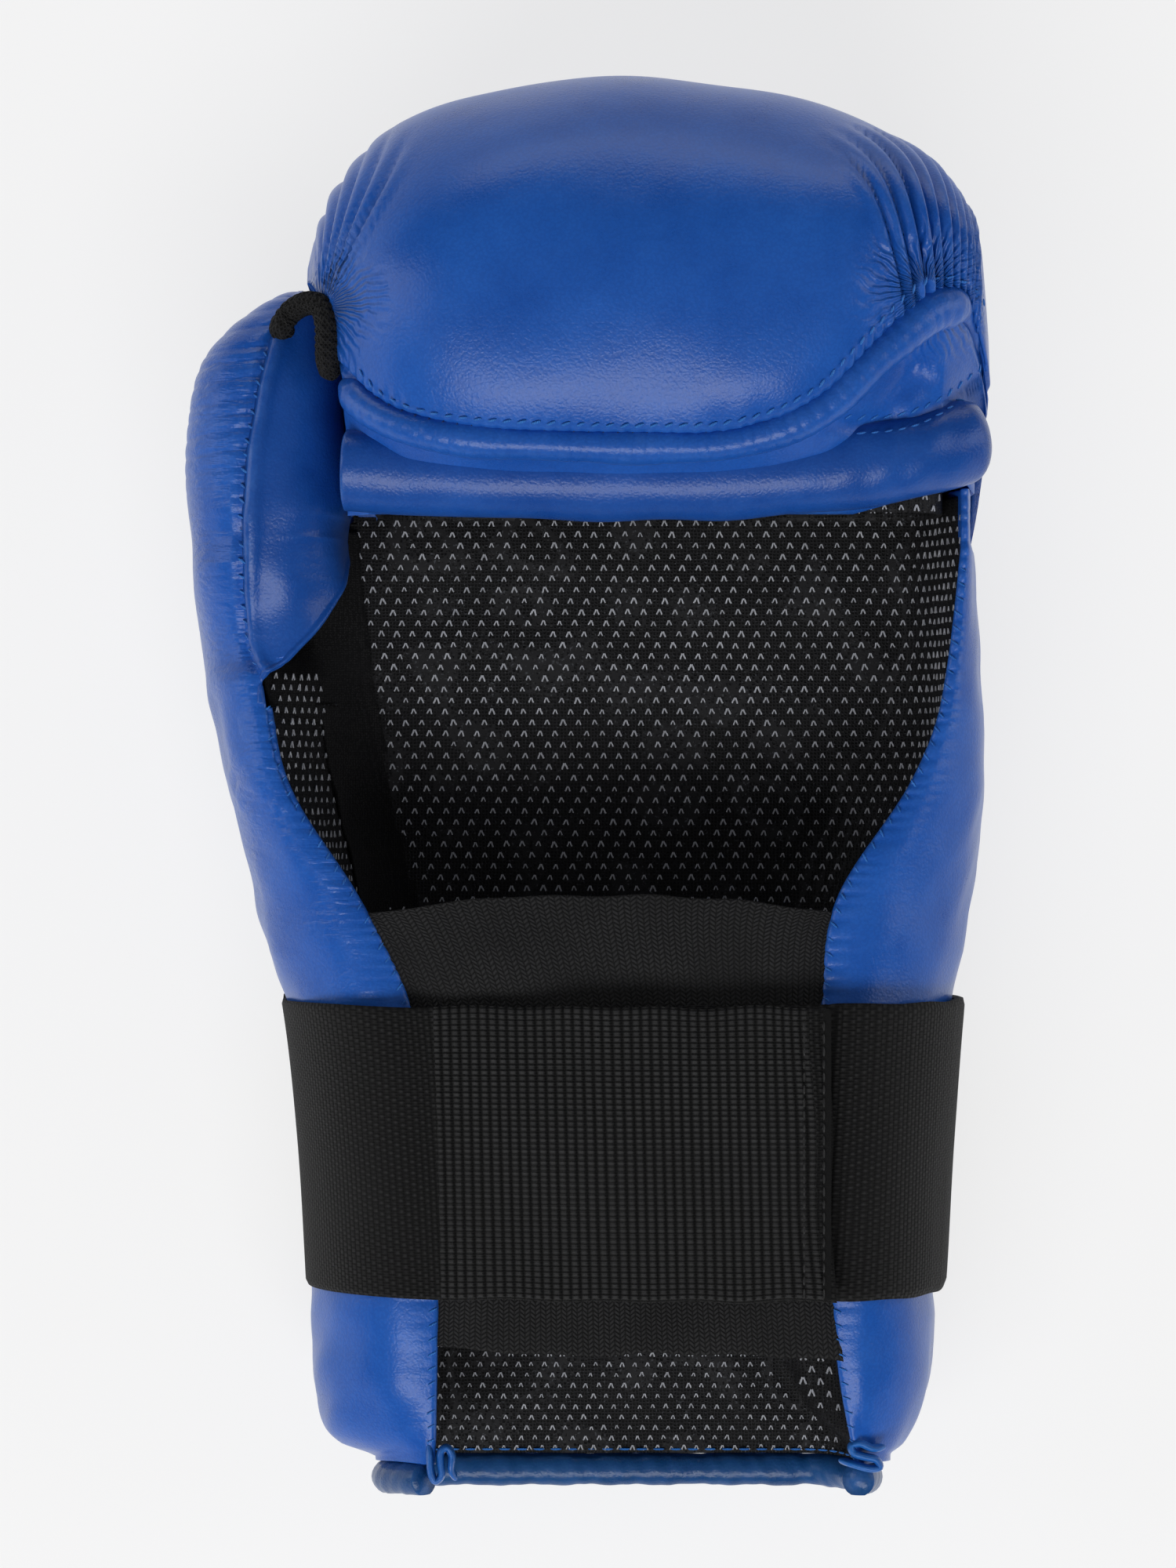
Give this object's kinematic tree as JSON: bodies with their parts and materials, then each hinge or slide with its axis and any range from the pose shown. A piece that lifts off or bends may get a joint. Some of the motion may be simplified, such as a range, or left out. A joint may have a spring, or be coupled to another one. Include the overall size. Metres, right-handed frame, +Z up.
{
  "type": "sparring glove",
  "caption": "Open-palm padded sparring glove for the left hand, with a thumb sleeve tied to the finger roll, a mesh lining, a wrist elastic and a hook-and-loop strap.",
  "frame": {"origin": "centre of the footprint, on the surface that the back of the glove lies on", "axes": "+Z up out of the open palm, +Y from the cuff to the fingers, +X away from the thumb"},
  "size_m": [0.1411, 0.2502, 0.086],
  "materials": {
    "leather": "pebbled blue leather with a soft sheen",
    "binding": "thin smooth blue leather, turned over and sewn",
    "thread": "azure sewing thread",
    "foam": "soft closed-cell foam padding",
    "lining": "black spacer mesh with pale flecks",
    "elastic": "black knitted elastic",
    "webbing": "black ribbed strap webbing",
    "braid": "black knitted braid",
    "loop_tape": "black loop tape",
    "hook_tape": "black hook tape"
  },
  "bodies": {
    "hand": {"hand_shell": "leather", "hand_foam": "foam", "hand_lining": "lining", "wrist_elastic": "elastic", "cuff_binding": "binding", "binding_end_left": "binding", "binding_end_right": "binding", "strap_base": "webbing", "loop_patch": "loop_tape", "strap_stitch": "thread"},
    "fingers": {"finger_shell": "leather", "finger_foam": "foam", "finger_lining": "lining", "finger_lip": "leather", "finger_facing": "leather", "finger_band": "leather", "band_core": "foam", "thumb_tie": "braid"},
    "thumb": {"thumb_shell": "leather", "thumb_panel": "leather", "thumb_foam": "foam", "thumb_lining": "lining"},
    "tail": {"strap_tail": "webbing", "hook_patch": "hook_tape", "tail_hem": "webbing"}
  },
  "joints": [
    {"name": "finger_flex", "type": "hinge", "parent": "hand", "child": "fingers", "pos_m": [0, 0.042, 0.01], "axis": [-1, 0, 0], "range_deg": [0, 12], "stiffness_Nm_per_rad": 2, "springref_deg": -3.44, "deforming": ["thumb_tie"]},
    {"name": "thumb_flex", "type": "hinge", "parent": "hand", "child": "thumb", "pos_m": [-0.057, 0.018, 0.003], "axis": [-1, 0, 0], "range_deg": [0, 6]},
    {"name": "strap_open", "type": "hinge", "parent": "hand", "child": "tail", "pos_m": [-0.0545, -0.064, 0.043], "axis": [0, -1, 0], "range_deg": [0, 130]}
  ],
  "couplings": [
    {"joint": "thumb_flex", "follows": "finger_flex", "ratio": 0.5}
  ]
}
